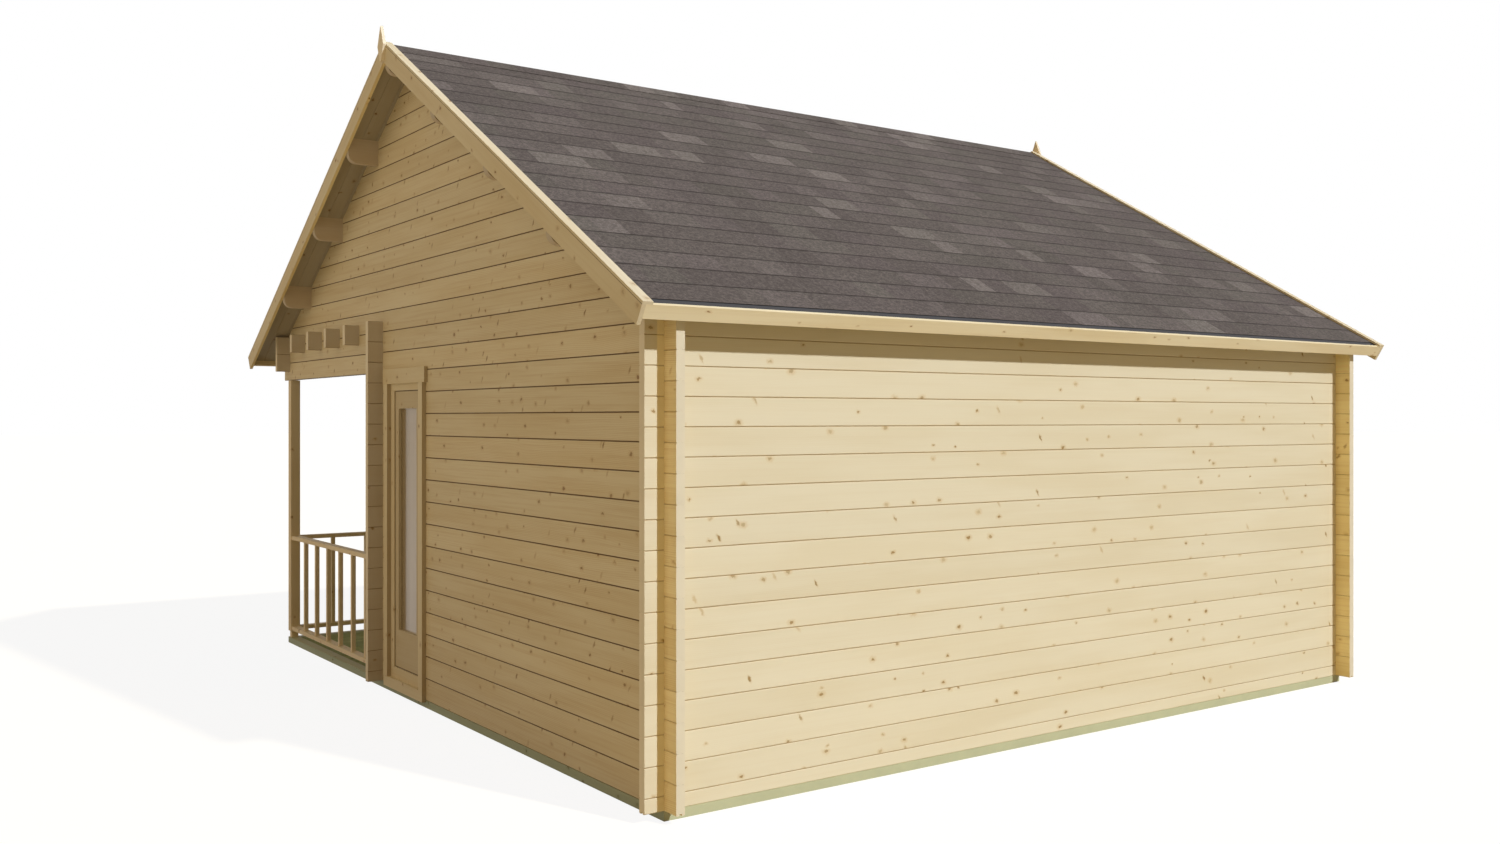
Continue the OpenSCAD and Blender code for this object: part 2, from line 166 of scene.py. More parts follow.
class Shader(NodeTree):
    """A material's nodes."""

    def __init__(self, name):
        self.material = bpy.data.materials.new(name)
        self.material.use_nodes = True
        super().__init__(self.material.node_tree)
        self.bsdf = self.tree.nodes["Principled BSDF"]

    def plus(self, a, b):
        return self.math("ADD", a, b)

    def minus(self, a, b):
        return self.math("SUBTRACT", a, b)

    def times(self, a, b):
        return self.math("MULTIPLY", a, b)

    def times_plus(self, a, b, c):
        return self.math("MULTIPLY_ADD", a, b, c)

    def vector(self, x, y, z):
        return self.add("CombineXYZ", {0: x, 1: y, 2: z}).outputs[0]

    def stretched(self, vector, scale):
        return self.add("VectorMath", {0: vector, 1: scale}, operation="MULTIPLY").outputs[0]

    def noise_node(self, vector, noise):
        inputs = {"Vector": self.stretched(vector, noise.scale), "Scale": 1.0,
                  "Detail": noise.detail, "Roughness": noise.roughness}
        return self.add("TexNoise", inputs)

    def noise(self, vector, noise):
        return self.noise_node(vector, noise).outputs[0]

    def uneven(self, vector, noise, amount):
        """The vector shifted about by a noise, so that round marks come out uneven."""
        shift = self.noise_node(vector, noise).outputs["Color"]
        inputs = {0: shift, 1: (amount, amount, amount), 2: vector}
        return self.add("VectorMath", inputs, operation="MULTIPLY_ADD").outputs[0]

    def draw(self, value):
        """A random number between 0 and 1 that stays the same for one value."""
        return self.add("TexWhiteNoise", {"W": value}, noise_dimensions="1D").outputs["Value"]

    def ramp(self, value, low, high, to_low=0.0, to_high=1.0):
        """Goes smoothly from to_low to to_high while the value goes from low to high."""
        inputs = {0: value, 1: low, 2: high, 3: to_low, 4: to_high}
        return self.add("MapRange", inputs, interpolation_type="SMOOTHSTEP").outputs[0]

    def mix(self, factor, a, b, blend="MIX"):
        made = self.add("Mix", data_type="RGBA", blend_type=blend)
        for index, value in ((0, factor), (MIX_FIRST, a), (MIX_SECOND, b)):
            if isinstance(value, tuple) and len(value) == 3:
                value = (*value, 1.0)
            self.put(made.inputs[index], value)
        return made.outputs[MIX_RESULT]

    def multiplied(self, color, tone):
        return self.mix(1.0, color, tone, "MULTIPLY")

    def shaded(self, color, factor):
        """The colour times one number."""
        return self.multiplied(color, self.vector(factor, factor, factor))

    def place(self):
        """Sockets of a point's x, y and z on the object."""
        coordinates = self.add("TexCoord").outputs["Object"]
        return self.add("SeparateXYZ", {0: coordinates}).outputs

    def normal(self):
        """Sockets of the x, y and z of the flat face's normal."""
        normal = self.add("NewGeometry").outputs["True Normal"]
        return self.add("SeparateXYZ", {0: normal}).outputs

    def facing(self, axis):
        """How far the flat face looks along an axis, from 0 to 1."""
        return self.math("ABSOLUTE", self.normal()["xyz".index(axis)])

    def piece_tone(self):
        return self.add("Attribute", attribute_name=TONE_ATTRIBUTE).outputs["Fac"]

    def bump(self, height, strength, distance):
        made = self.add("Bump", {"Strength": strength, "Distance": distance, "Height": height})
        self.put(self.bsdf.inputs["Normal"], made.outputs[0])

    def surface(self, color, roughness, specular):
        self.put(self.bsdf.inputs["Base Color"], color)
        self.put(self.bsdf.inputs["Roughness"], roughness)
        self.put(self.bsdf.inputs["Specular IOR Level"], specular)
        return self.material


# In the functions below, s is the shader that they add nodes to
def slope_axes(s):
    """Sockets down the slope, square to it and along the ridge."""
    x, y, z = s.place()
    run = s.math("ABSOLUTE", y)
    down = s.minus(s.times(run, math.cos(PITCH)), s.times(z, math.sin(PITCH)))
    over = s.plus(s.times(run, math.sin(PITCH)), s.times(z, math.cos(PITCH)))
    return down, over, x


def grain_axes(s, axis, upright):
    """Sockets along the grain, across the face and into the wood.

    Where upright is given, wood above or below those two heights lies level.
    """
    if axis == "slope":
        return slope_axes(s)
    x, y, z = s.place()
    if upright:
        side = s.plus(x, y)
        below = s.math("LESS_THAN", z, upright[0])
        above = s.math("GREATER_THAN", z, upright[1])
        level = s.math("MAXIMUM", below, above)
        turned = s.mix(level, s.vector(z, side, 0.0), s.vector(side, z, 0.0))
        return s.add("SeparateXYZ", {0: turned}).outputs
    return {"x": (x, z, y), "y": (y, z, x), "z": (z, x, y)}[axis]


# Marks in the wood lie in a jittered grid, with so many cells per metre along the grain and across it.
# A noise shifts them by up to so many metres. A knot's radius is in cells: the least, and what the largest
# has more. A tuple of four holds the arguments of a ramp: two values of its input, and the strength at each.
MARK_NOISE = Noise((55, 55, 1), 2.0)
MARK_SHIFT = 0.022
KNOT_CELLS = (6.0, 9.0)
KNOT_SMALLEST = 0.045
KNOT_SPREAD = 0.055
KNOT_STRENGTH = (0.2, 1.0, 0.28, 0.9)
KNOT_CORE = (0.5, 1.0, 1.0, 0.0)
KNOT_HALO = (0.8, 2.3, 1.0, 0.0)
SLASH_TURN = math.radians(58)
SLASH_CELLS = (5.72, 15.0)
SLASH_STRENGTH = (0.3, 1.0, 0.15, 0.9)
SLASH_CORE = (0.04, 0.13, 1.0, 0.0)
SLASH_HALO = (0.06, 0.20, 1.0, 0.0)


def mark_cells(s, along, flat, cells_per_metre):
    """How far the nearest mark is, in cells, and three random numbers of that mark."""
    vector = s.uneven(s.vector(along, flat, 0.0), MARK_NOISE, MARK_SHIFT)
    vector = s.stretched(vector, (*cells_per_metre, 1))
    cells = s.add("TexVoronoi", {"Vector": vector, "Scale": 1.0}, voronoi_dimensions="2D")
    draws = s.add("SeparateColor", {0: cells.outputs["Color"]}).outputs
    return cells.outputs["Distance"], draws


def knots(s, along, flat, share):
    """Core and halo of uneven knots, one in a share of the cells."""
    distance, (chance, size, depth) = mark_cells(s, along, flat, KNOT_CELLS)
    there = s.math("LESS_THAN", chance, share)
    reach = s.math("DIVIDE", distance, s.times_plus(size, KNOT_SPREAD, KNOT_SMALLEST))
    strength = s.times(there, s.ramp(depth, *KNOT_STRENGTH))
    core = s.times(s.ramp(reach, *KNOT_CORE), strength)
    halo = s.times(s.ramp(reach, *KNOT_HALO), there)
    return core, halo


def slashes(s, along, flat, share):
    """Core and halo of branches cut lengthwise: slim marks that lie across the grain at a slant."""
    cosine, sine = math.cos(SLASH_TURN), math.sin(SLASH_TURN)
    turned_along = s.plus(s.times(along, cosine), s.times(flat, sine))
    turned_flat = s.minus(s.times(flat, cosine), s.times(along, sine))
    distance, draws = mark_cells(s, turned_along, turned_flat, SLASH_CELLS)
    chance, depth = draws[:2]
    there = s.math("LESS_THAN", chance, share)
    strength = s.times(there, s.ramp(depth, *SLASH_STRENGTH))
    core = s.times(s.ramp(distance, *SLASH_CORE), strength)
    halo = s.times(s.ramp(distance, *SLASH_HALO), there)
    return core, halo


# Grain: noises, and the values of each between which its marks fade in
TONE_NOISE = Noise((0.9, 7, 7), 3.0)
TONE_SPAN = (0.35, 0.68)
STREAK_NOISE = Noise((1.4, 70, 70), 4.0, 0.62)
STREAK_SPAN = (0.42, 0.75)
PATCH_NOISE = Noise((0.7, 9, 9), 1.0)
PATCH_SPAN = (0.35, 0.7)
FIBRE_NOISE = Noise((14, 520, 520), 2.0)

# Growth lines: their spacing, how far they wander and give way to knots, and where they darken
BEND_NOISE = Noise((0.8, 3.0, 3.0), 2.0)
RING_WIDTH = 0.0085
RING_BEND = 0.09
RING_ROUND_KNOT = 0.006
RING_SPAN = (-0.1, 1.0)


def grain(s, point, flat, halo):
    """Slow tone, streaks, growth lines and fibre of planed wood, each from 0 to 1."""
    tone = s.ramp(s.noise(point, TONE_NOISE), *TONE_SPAN)
    streak = s.ramp(s.noise(point, STREAK_NOISE), *STREAK_SPAN)
    fibre = s.noise(point, FIBRE_NOISE)
    bent = s.times_plus(s.noise(point, BEND_NOISE), RING_BEND, flat)
    ring_place = s.plus(bent, s.times(halo, RING_ROUND_KNOT))
    ring = s.ramp(s.math("SINE", s.times(ring_place, 2 * math.pi / RING_WIDTH)), *RING_SPAN)
    patch = s.ramp(s.noise(point, PATCH_NOISE), *PATCH_SPAN)
    return tone, streak, s.times(ring, patch), fibre


# Courses of logs: where the lowest starts, and the strength, width and colour of the lines between them.
# The width is a share of a course, on each side of the joint, and the core a share of that width.
Courses = namedtuple("Courses", "start strength width color")
LINE_CORE = 0.6


def course_line(s, stack, courses):
    """Strength of the line between two courses, at a place in the stack."""
    part = s.math("FRACT", stack)
    edge = s.math("MINIMUM", part, s.minus(1.0, part))
    return s.ramp(edge, LINE_CORE * courses.width, courses.width, courses.strength, 0.0)


# Each log or board takes its wood from another place: these steps along and across the grain, times its
# tint. Wood that has neither courses nor tones of its own has the middle tint.
ALONG_STEP = 37.0
ACROSS_STEP = 5.0
MIDDLE_TINT = 0.5

# Strength of the halos, the factor on the darker parts of sawn ends, and the relief and finish
HALO_STRENGTH = 0.42
END_SHADE = 0.95
RING_RELIEF = 0.5
WOOD_BUMP = 0.12
WOOD_RELIEF = 0.0008
WOOD_ROUGHNESS = 0.62


def wood(name, axis, tones, seed, knot_share=0.4, slash_share=0.02, streaks=0.16, variation=0.08,
         specular=0.3, courses=None, own_tone=False, painted_light_where=None, lines=None, upright=None):
    """Planed softwood with growth lines, fibre and knots.

    Courses of logs, and pieces with a tone of their own, each get their own grain and tint.
    painted_light_where is a function of the shader that gives the strength of its painted bounce light
    and shade, a colour to multiply by and the share of the joint lines that stays there, and lines one
    that gives the strength of other dark lines.
    """
    s = Shader(name)
    along, across, deep = grain_axes(s, axis, upright)
    tint = MIDDLE_TINT
    if courses:
        stack = s.math("DIVIDE", s.minus(across, courses.start), LOG_HEIGHT)
        tint = s.draw(s.plus(s.math("FLOOR", stack), seed))
    if own_tone:
        tint = s.piece_tone()
    along = s.plus(s.times_plus(tint, ALONG_STEP, along), seed)
    flat = s.times_plus(tint, ACROSS_STEP, s.plus(across, deep))
    point = s.vector(along, across, s.times_plus(tint, ACROSS_STEP, deep))
    core, halo = knots(s, along, flat, knot_share)
    slash, glow = slashes(s, along, flat, slash_share)
    tone, streak, ring, fibre = grain(s, point, flat, halo)

    color = s.mix(tone, tones.light, tones.mid)
    color = s.mix(s.times(streak, streaks), color, tones.late)
    color = s.mix(s.times(ring, streaks), color, tones.late)
    color = s.mix(s.times(s.math("MAXIMUM", halo, glow), HALO_STRENGTH), color, tones.late)
    color = s.mix(s.math("MAXIMUM", core, slash), color, tones.knot)
    if courses or own_tone:
        color = s.shaded(color, s.times_plus(tint, variation, 1.0 - variation / 2))
    if axis != "slope" and not upright:
        sawn = s.ramp(s.facing(axis), *SQUARE_ON)
        darker_end = tuple(END_SHADE * part for part in tones.end)
        color = s.mix(sawn, color, s.mix(tone, tones.end, darker_end))
    # Where bounce light and shade are painted into the colour, and the share of the joint lines kept there
    painted_zone, multiplier, kept_lines = painted_light_where(s) if painted_light_where else (0.0, NO_TONE, 1.0)
    if courses:
        line = s.times(course_line(s, stack, courses), s.ramp(painted_zone, 0.0, 1.0, 1.0, kept_lines))
        color = s.mix(s.times(line, s.minus(1.0, sawn)), color, courses.color)
    if painted_light_where:
        color = s.mix(painted_zone, color, s.multiplied(color, multiplier))
    if lines:
        color = s.mix(lines(s), color, JOINT_DARK)
    s.bump(s.plus(s.times(ring, RING_RELIEF), fibre), WOOD_BUMP, WOOD_RELIEF)
    return s.surface(color, WOOD_ROUGHNESS, specular)


# Width of the strip of painted bounce light in the inner corners of the rear log ends, and the share of it
# that is full
INNER_CORNER = 0.04
INNER_CORE = 0.8

# Thin joint lines: the distances at which they are full and gone, and the strength at each
CAP_LINE = (0.0008, 0.0025, 0.8, 0.0)
LEAF_GAP = (0.004, 0.008, 0.95, 0.0)


def side_log_bounce(s):
    """Painted bounce light: the flanks of the side logs' ends, farther out than the rear wall's face, are a
    deeper yellow.
    """
    x, y = s.place()[:2]
    beyond = s.math("GREATER_THAN", s.math("ABSOLUTE", y), REAR_FACE)
    painted_bounce = s.mix(s.math("LESS_THAN", x, 0.0), PAINTED_BOUNCE, PAINTED_BOUNCE_DEEP)
    return s.times(beyond, s.ramp(s.facing("x"), *HALF_ON)), painted_bounce, BOUNCE_LINES_KEPT


def long_log_bounce(s):
    """So are the faces of the rear wall's logs just outside the side walls: painted bounce light in the
    inner corners.
    """
    x, y = s.place()[:2]
    out = s.minus(s.math("ABSOLUTE", x), SIDE_FACE)
    strip = s.ramp(out, INNER_CORE * INNER_CORNER, INNER_CORNER, 1.0, 0.0)
    near = s.times(s.math("GREATER_THAN", out, 0.0), strip)
    rear = s.math("GREATER_THAN", y, REAR_FACE - INNER_CORNER)
    return s.times(s.times(near, rear), s.facing("y")), PAINTED_BOUNCE, BOUNCE_LINES_KEPT


def front_log_shade(s):
    """Painted shade: the flanks of the front logs and joists outside the side walls are darker."""
    out = s.math("GREATER_THAN", s.math("ABSOLUTE", s.place()[0]), SIDE_FACE)
    return s.times(out, s.ramp(s.facing("y"), *HALF_ON)), OVERHANG_SHADE, 1.0


def base_side_shade(s):
    """Painted shade: the foundation's long sides are a darker, cooler green than its rear."""
    return s.ramp(s.facing("x"), *SQUARE_ON), BASE_SIDE_SHADE, 1.0


def slope_underside_bounce(s):
    """Painted bounce light: the lower edges of the barge boards are a deeper yellow."""
    return s.ramp(s.times(s.normal()[2], -1.0), *UNDERSIDE), PAINTED_BOUNCE, 1.0


def trim_side_shade(s):
    """Painted shade: the narrow edges of the cover boards are a little darker than their faces."""
    return s.ramp(s.facing("y"), *SQUARE_ON), TRIM_SIDE_SHADE, 1.0


def cap_line(s):
    """The joint under the cap battens, on the outer faces of the gable edges."""
    depth = s.minus(RIDGE_TOP * math.cos(PITCH), slope_axes(s)[1])
    away = s.math("ABSOLUTE", s.minus(depth, SHINGLE_TOP))
    return s.times(s.ramp(away, *CAP_LINE), s.ramp(s.facing("x"), *SQUARE_ON))


def leaf_line(s):
    """The gap around a side window's leaf."""
    low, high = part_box("right_window_sash")
    y, z = s.place()[1:]
    nearest = s.minus(y, low[1])
    for distance in (s.minus(high[1], y), s.minus(z, low[2]), s.minus(high[2], z)):
        nearest = s.math("MINIMUM", nearest, distance)
    return s.ramp(nearest, *LEAF_GAP)


# The part of a shingle course that shows, and of the starter strip under the lowest course
EXPOSURE = 0.181
STARTER_SHOWN = 0.046

# Painted shade under a course's edge: where it is full and where it ends, and the strength at each
SHADE_BAND = (0.006, 0.010, 0.50, 0.0)

# Shingle colours, linear, and how strongly some hues tint the tabs that draw them
TAB_DARK = (0.094, 0.077, 0.067)
TAB_LIGHT = (0.222, 0.190, 0.166)
TAB_RED = (0.13, 0.097, 0.100)
TAB_OLIVE = (0.12, 0.115, 0.086)
TAB_EDGE = (0.084, 0.071, 0.064)
STRIP_DARK = (0.060, 0.059, 0.060)
STRIP_LIGHT = (0.100, 0.098, 0.098)
HUE_SPREAD = 977.0
RED_SHARE = (0.0, 0.35, 0.16, 0.0)
OLIVE_SHARE = (0.6, 1.0, 0.0, 0.22)

# Grit and weather marks: noises, two values of each and the factor on the colour at each
GRIT_NOISE = Noise((330, 330, 330), 2.0, 0.7)
GRIT_SHADE = (0.34, 0.66, 0.78, 1.16)
SPECK_NOISE = Noise((95, 95, 95), 3.0, 0.65)
SPECK_SHADE = (0.32, 0.68, 0.80, 1.22)
MOTTLE_NOISE = Noise((42, 42, 42), 2.0)
MOTTLE_SHADE = (0.32, 0.68, 0.84, 1.17)
CLOUD_NOISE = Noise((2.2, 2.2, 2.2), 3.0)
CLOUD_SHADE = (0.3, 0.7, 0.95, 1.06)
GRIT_BUMP = 0.3
GRIT_RELIEF = 0.002
SHINGLE_ROUGHNESS = 0.92
SHINGLE_SPECULAR = 0.15


def course_shade_band(s):
    """Strength of the painted shade along each course, under the edge of the next one up."""
    down = s.plus(slope_axes(s)[0], RIDGE_TOP * math.sin(PITCH))
    course = s.math("DIVIDE", s.minus(SHINGLE_EDGE - STARTER_SHOWN, down), EXPOSURE)
    below = s.times(s.minus(1.0, s.math("FRACT", course)), EXPOSURE)
    return s.times(s.ramp(below, *SHADE_BAND), s.math("GREATER_THAN", down, RIDGE_CAP_EDGE))


def shingle_material():
    """Gritted bitumen: every tab has its own tone, over grit and slow weather marks."""
    s = Shader("shingle_grit")
    point = s.vector(*s.place())
    tone = s.piece_tone()
    hue = s.draw(s.times(tone, HUE_SPREAD))
    grit = s.noise(point, GRIT_NOISE)
    speck = s.noise(point, SPECK_NOISE)
    color = s.mix(tone, TAB_DARK, TAB_LIGHT)
    color = s.mix(s.ramp(hue, *RED_SHARE), color, TAB_RED)
    color = s.mix(s.ramp(hue, *OLIVE_SHARE), color, TAB_OLIVE)
    color = s.shaded(color, s.ramp(speck, *SPECK_SHADE))
    color = s.shaded(color, s.ramp(grit, *GRIT_SHADE))
    color = s.shaded(color, s.ramp(s.noise(point, MOTTLE_NOISE), *MOTTLE_SHADE))
    color = s.shaded(color, s.ramp(s.noise(point, CLOUD_NOISE), *CLOUD_SHADE))
    # Painted shade under each course's edge
    color = s.shaded(color, s.minus(1.0, course_shade_band(s)))
    color = s.mix(s.math("LESS_THAN", tone, LOWER_EDGE / 2), color, TAB_EDGE)
    strip = s.mix(grit, STRIP_DARK, STRIP_LIGHT)
    color = s.mix(s.math("LESS_THAN", tone, (LOWER_EDGE + STARTER) / 2), color, strip)
    s.bump(s.plus(grit, speck), GRIT_BUMP, GRIT_RELIEF)
    return s.surface(color, SHINGLE_ROUGHNESS, SHINGLE_SPECULAR)


# The painted reflection on the panes: its least strength, what it gains over a share of the width
# towards the rear, the factors on it at the foot and head, and what smears add. Its colours are linear.
REFLECTION_LEAST = 0.42
REFLECTION_GAIN = 0.23
REFLECTION_WIDTH = 0.55
REFLECTION_FOOT = 1.06
REFLECTION_HEAD = 0.90
SMEAR_NOISE = Noise((3, 5, 1.5), 2.0)
SMEAR_GAIN = 0.06
PANE_BROWN = (0.58, 0.46, 0.28)
PANE_FOOT = (0.83, 0.78, 0.76)
PANE_HEAD = (0.82, 0.73, 0.62)
PANE_ROUGHNESS = 0.04
PANE_SPECULAR = 0.5


def glass_material():
    """Clear panes with a painted reflection: a pale film that grows towards their rear side."""
    s = Shader("window_pane")
    low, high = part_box("window_glass")
    x, y, z = s.place()
    smear = s.noise(s.vector(x, y, z), SMEAR_NOISE)
    rearward = s.ramp(y, low[1], low[1] + REFLECTION_WIDTH * (high[1] - low[1]))
    painted_reflection = s.times_plus(rearward, REFLECTION_GAIN, REFLECTION_LEAST)
    painted_reflection = s.times(painted_reflection, s.ramp(z, low[2], high[2], REFLECTION_FOOT, REFLECTION_HEAD))
    # The painted reflection is a pale film, more opaque towards the rear and brown towards the front
    s.put(s.bsdf.inputs["Alpha"], s.times_plus(smear, SMEAR_GAIN, painted_reflection))
    pale = s.mix(s.ramp(z, low[2], high[2]), PANE_FOOT, PANE_HEAD)
    return s.surface(s.mix(rearward, PANE_BROWN, pale), PANE_ROUGHNESS, PANE_SPECULAR)


LEVEL_DIGITS = 4


def height_levels(node):
    """The heights at which a node has corners, from low to high."""
    return sorted({round(point.co.z, LEVEL_DIGITS) for point in nodes[node].data.vertices})


def heights(node):
    """A node's lowest and highest level."""
    low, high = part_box(node)
    return low[2], high[2]


trim_levels = height_levels("right_window_trim")
SIDE_COURSES = Courses(BASE_HEIGHT, 0.95, 0.029, JOINT_BROWN)
LONG_COURSES = Courses(BASE_HEIGHT - LOG_HEIGHT / 2, 0.75, 0.017, JOINT_GOLD)
LONG_LOGS = {"seed": 11.0, "knot_share": 0.32, "slash_share": 0.035, "streaks": 0.07, "variation": 0.03,
             "courses": LONG_COURSES}
log_x = wood("log_pine_long", "x", BRIGHT, painted_light_where=long_log_bounce, **LONG_LOGS)
log_front = wood("log_pine_front", "x", BRIGHT, painted_light_where=front_log_shade, **LONG_LOGS)
log_y = wood("log_pine_side", "y", PINE, seed=47.0, knot_share=0.5, slash_share=0.09, streaks=0.4,
             courses=SIDE_COURSES, painted_light_where=side_log_bounce)
beam_x = wood("beam_pine", "x", PURLIN, seed=3.0)
fascia_x = wood("fascia_pine", "x", FASCIA_PAINTED_LIGHT, seed=53.0)
post_z = wood("post_pine", "z", PINE_PAINTED_LIGHT, seed=7.0)
trim_z = wood("trim_pine", "z", PINE, seed=17.0, painted_light_where=trim_side_shade,
              upright=(trim_levels[1], trim_levels[-2]))
frame_z = wood("frame_pine", "z", PINE, seed=37.0, upright=heights("right_window_sash"))
leaf_z = wood("leaf_pine", "z", LEAF_PAINTED_SHADE, seed=13.0, knot_share=0.25, lines=leaf_line,
              upright=heights("window_glass"))
door_z = wood("door_pine", "z", PINE, seed=43.0, knot_share=0.25, upright=heights("door_glass"))
slope_pine = wood("slope_pine", "slope", PINE, seed=5.0, lines=cap_line, painted_light_where=slope_underside_bounce)
board_slope = wood("board_pine_slope", "slope", CEILING_PAINTED_SHADE, seed=41.0, own_tone=True)
board_x = wood("board_pine_x", "x", PINE, seed=19.0, own_tone=True)
rail_y = wood("rail_pine_y", "y", PINE_PAINTED_LIGHT, seed=23.0)
rail_x = wood("rail_pine_x", "x", PINE_PAINTED_LIGHT, seed=59.0)
base_green = wood("treated_base", "y", GREEN, seed=29.0, knot_share=0.3, painted_light_where=base_side_shade)
deck_green = wood("treated_deck", "x", DECK, seed=31.0, knot_share=0.3, own_tone=True, specular=0.05)
shingle = shingle_material()
pane = glass_material()

FINISH = {
    base_green: ["foundation_beams", "floor_bearers"],
    log_x: ["rear_wall"],
    log_front: ["front_wall", "front_beam", "veranda_joists"],
    log_y: ["right_side_wall", "left_side_wall", "right_gable", "left_gable"],
    post_z: ["corner_posts", "front_posts", "post_feet", "finials"],
    trim_z: ["right_window_trim", "left_window_trim", "door_trim"],
    frame_z: ["right_window_frame", "left_window_frame"],
    leaf_z: ["right_window_sash", "left_window_sash"],
    door_z: ["door_frame", "door_leaves"],
    rail_y: ["right_side_railing", "left_side_railing"],
    rail_x: ["right_front_railing", "left_front_railing"],
    beam_x: ["ridge_purlin", "rear_purlins", "front_purlins"],
    fascia_x: ["rear_fascia", "front_fascia"],
    slope_pine: ["right_barge_boards", "left_barge_boards", "right_barge_caps", "left_barge_caps"],
    pane: ["window_glass", "door_glass"],
}
for finish, names in FINISH.items():
    for name in names:
        mesh = nodes[name].data
        mesh.materials.clear()
        mesh.materials.append(finish)


def make_outward(thing):
    """Turns all faces of a closed mesh outward."""
    work = bmesh.new()
    work.from_mesh(thing.data)
    bmesh.ops.recalc_face_normals(work, faces=work.faces)
    work.to_mesh(thing.data)
    work.free()


class Pile:
    """Collects prisms of one kind into a single mesh."""

    def __init__(self):
        self.points = []
        self.faces = []
        self.tones = []

    def prism(self, near, far, tone, first_side_tone=None):
        """A closed prism between two outlines with the same number of points."""
        start, count = len(self.points), len(near)
        self.points += [*near, *far]
        self.faces.append([start + i for i in reversed(range(count))])
        self.faces.append([start + count + i for i in range(count)])
        self.tones += [tone, tone]
        for i in range(count):
            j = (i + 1) % count
            self.faces.append([start + i, start + j, start + count + j, start + count + i])
            self.tones.append(first_side_tone if i == 0 and first_side_tone is not None else tone)

    def piece(self, name, material, slot, *replaced):
        """The object made of all the prisms, in place of CAD nodes."""
        mesh = bpy.data.meshes.new(name)
        mesh.from_pydata(self.points, [], self.faces)
        mesh.update()
        tones = mesh.attributes.new(TONE_ATTRIBUTE, "FLOAT", "FACE")
        tones.data.foreach_set("value", self.tones)
        mesh.materials.append(material)
        made = bpy.data.objects.new(name, mesh)
        bpy.context.collection.objects.link(made)
        make_outward(made)
        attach(made, "root")
        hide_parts(*replaced)


def on_slope(side, x, down, depth):
    """A point on a roof slope: side is 1 at the rear and -1 at the front."""
    run = down * math.cos(PITCH) - depth * math.sin(PITCH)
    rise = RIDGE_TOP - down * math.sin(PITCH) - depth * math.cos(PITCH)
    return (x, side * run, rise)


def slope_ends(side, outline, left, right):
    """An outline of points down the slope and in depth, at two places along the ridge."""
    return [[on_slope(side, x, down, depth) for down, depth in outline] for x in (left, right)]


def equal_parts(low, high, size):
    """Starts and ends of equal parts, close to a size, that fill a length."""
    count = round((high - low) / size)
    width = (high - low) / count
    return [(low + i * width, low + (i + 1) * width) for i in range(count)]


# Gap that keeps pieces of the roof from touching
CLEARANCE = 0.0003

# Shingle tabs: how far they run under the next course, their lower edge's thickness, how much deeper
# the upper end of their top lies, their thickness there, and their widths along the course
LAP = 0.030
TAB_THICK = 0.0018
TAB_FALL = 0.0020
TAB_TAIL = 0.0050
NARROW_TAB = 0.10
WIDE_TAB = 0.33

# The starter strip's length and its depths, and where the top course ends under the ridge strips
STARTER_LENGTH = 0.075
STARTER_TOP = 0.0188
STARTER_UNDER = 0.0214
TOP_START = 0.013

# Kinds of tab: the share of tabs up to and with each kind, and its lowest and highest tone
TAB_KINDS = ((0.10, 0.50, 0.80), (0.30, 0.30, 0.45), (1.0, 0.14, 0.28))

# Starting numbers of the random draws
SHINGLE_SEED = 40
BOARD_SEED = 60
RIDGE_SEED = 77


def tab_tone(draw):
    """Most tabs are close to one dark tone, some are lighter and a few are lighter still."""
    kind = draw.random()
    low, high = next((low, high) for share, low, high in TAB_KINDS if kind < share)
    return draw.uniform(low, high)


def shingle_courses(side, name, node):
    """A starter strip at the eave, then courses of tabs up to the ridge, each over the one below."""
    draw = random.Random(SHINGLE_SEED + side)
    pile = Pile()
    starter_high = SHINGLE_EDGE - STARTER_LENGTH
    strip = ((SHINGLE_EDGE, STARTER_TOP), (SHINGLE_EDGE, STARTER_UNDER),
             (starter_high, STARTER_UNDER), (starter_high, STARTER_TOP))
    pile.prism(*slope_ends(side, strip, -ROOF_HALF, ROOF_HALF), STARTER, LOWER_EDGE)
    low = SHINGLE_EDGE - STARTER_SHOWN
    while low > TOP_START + LAP:
        high = max(low - EXPOSURE - LAP, TOP_START)
        fall = TAB_FALL * (low - high) / (EXPOSURE + LAP)
        outline = ((low, SHINGLE_TOP), (low, SHINGLE_TOP + TAB_THICK),
                   (high, SHINGLE_TOP + fall + TAB_TAIL), (high, SHINGLE_TOP + fall))
        right = -ROOF_HALF
        while right < ROOF_HALF:
            left = right
            right = min(left + draw.uniform(NARROW_TAB, WIDE_TAB), ROOF_HALF)
            if ROOF_HALF - right < NARROW_TAB:
                right = ROOF_HALF
            pile.prism(*slope_ends(side, outline, left, right), tab_tone(draw), LOWER_EDGE)
        low -= EXPOSURE
    pile.piece(name, shingle, "shingle", node)


# Ridge strips: their width along the ridge, and their thickness at the lower edges
RIDGE_PIECE = 0.20
RIDGE_EDGE = 0.002


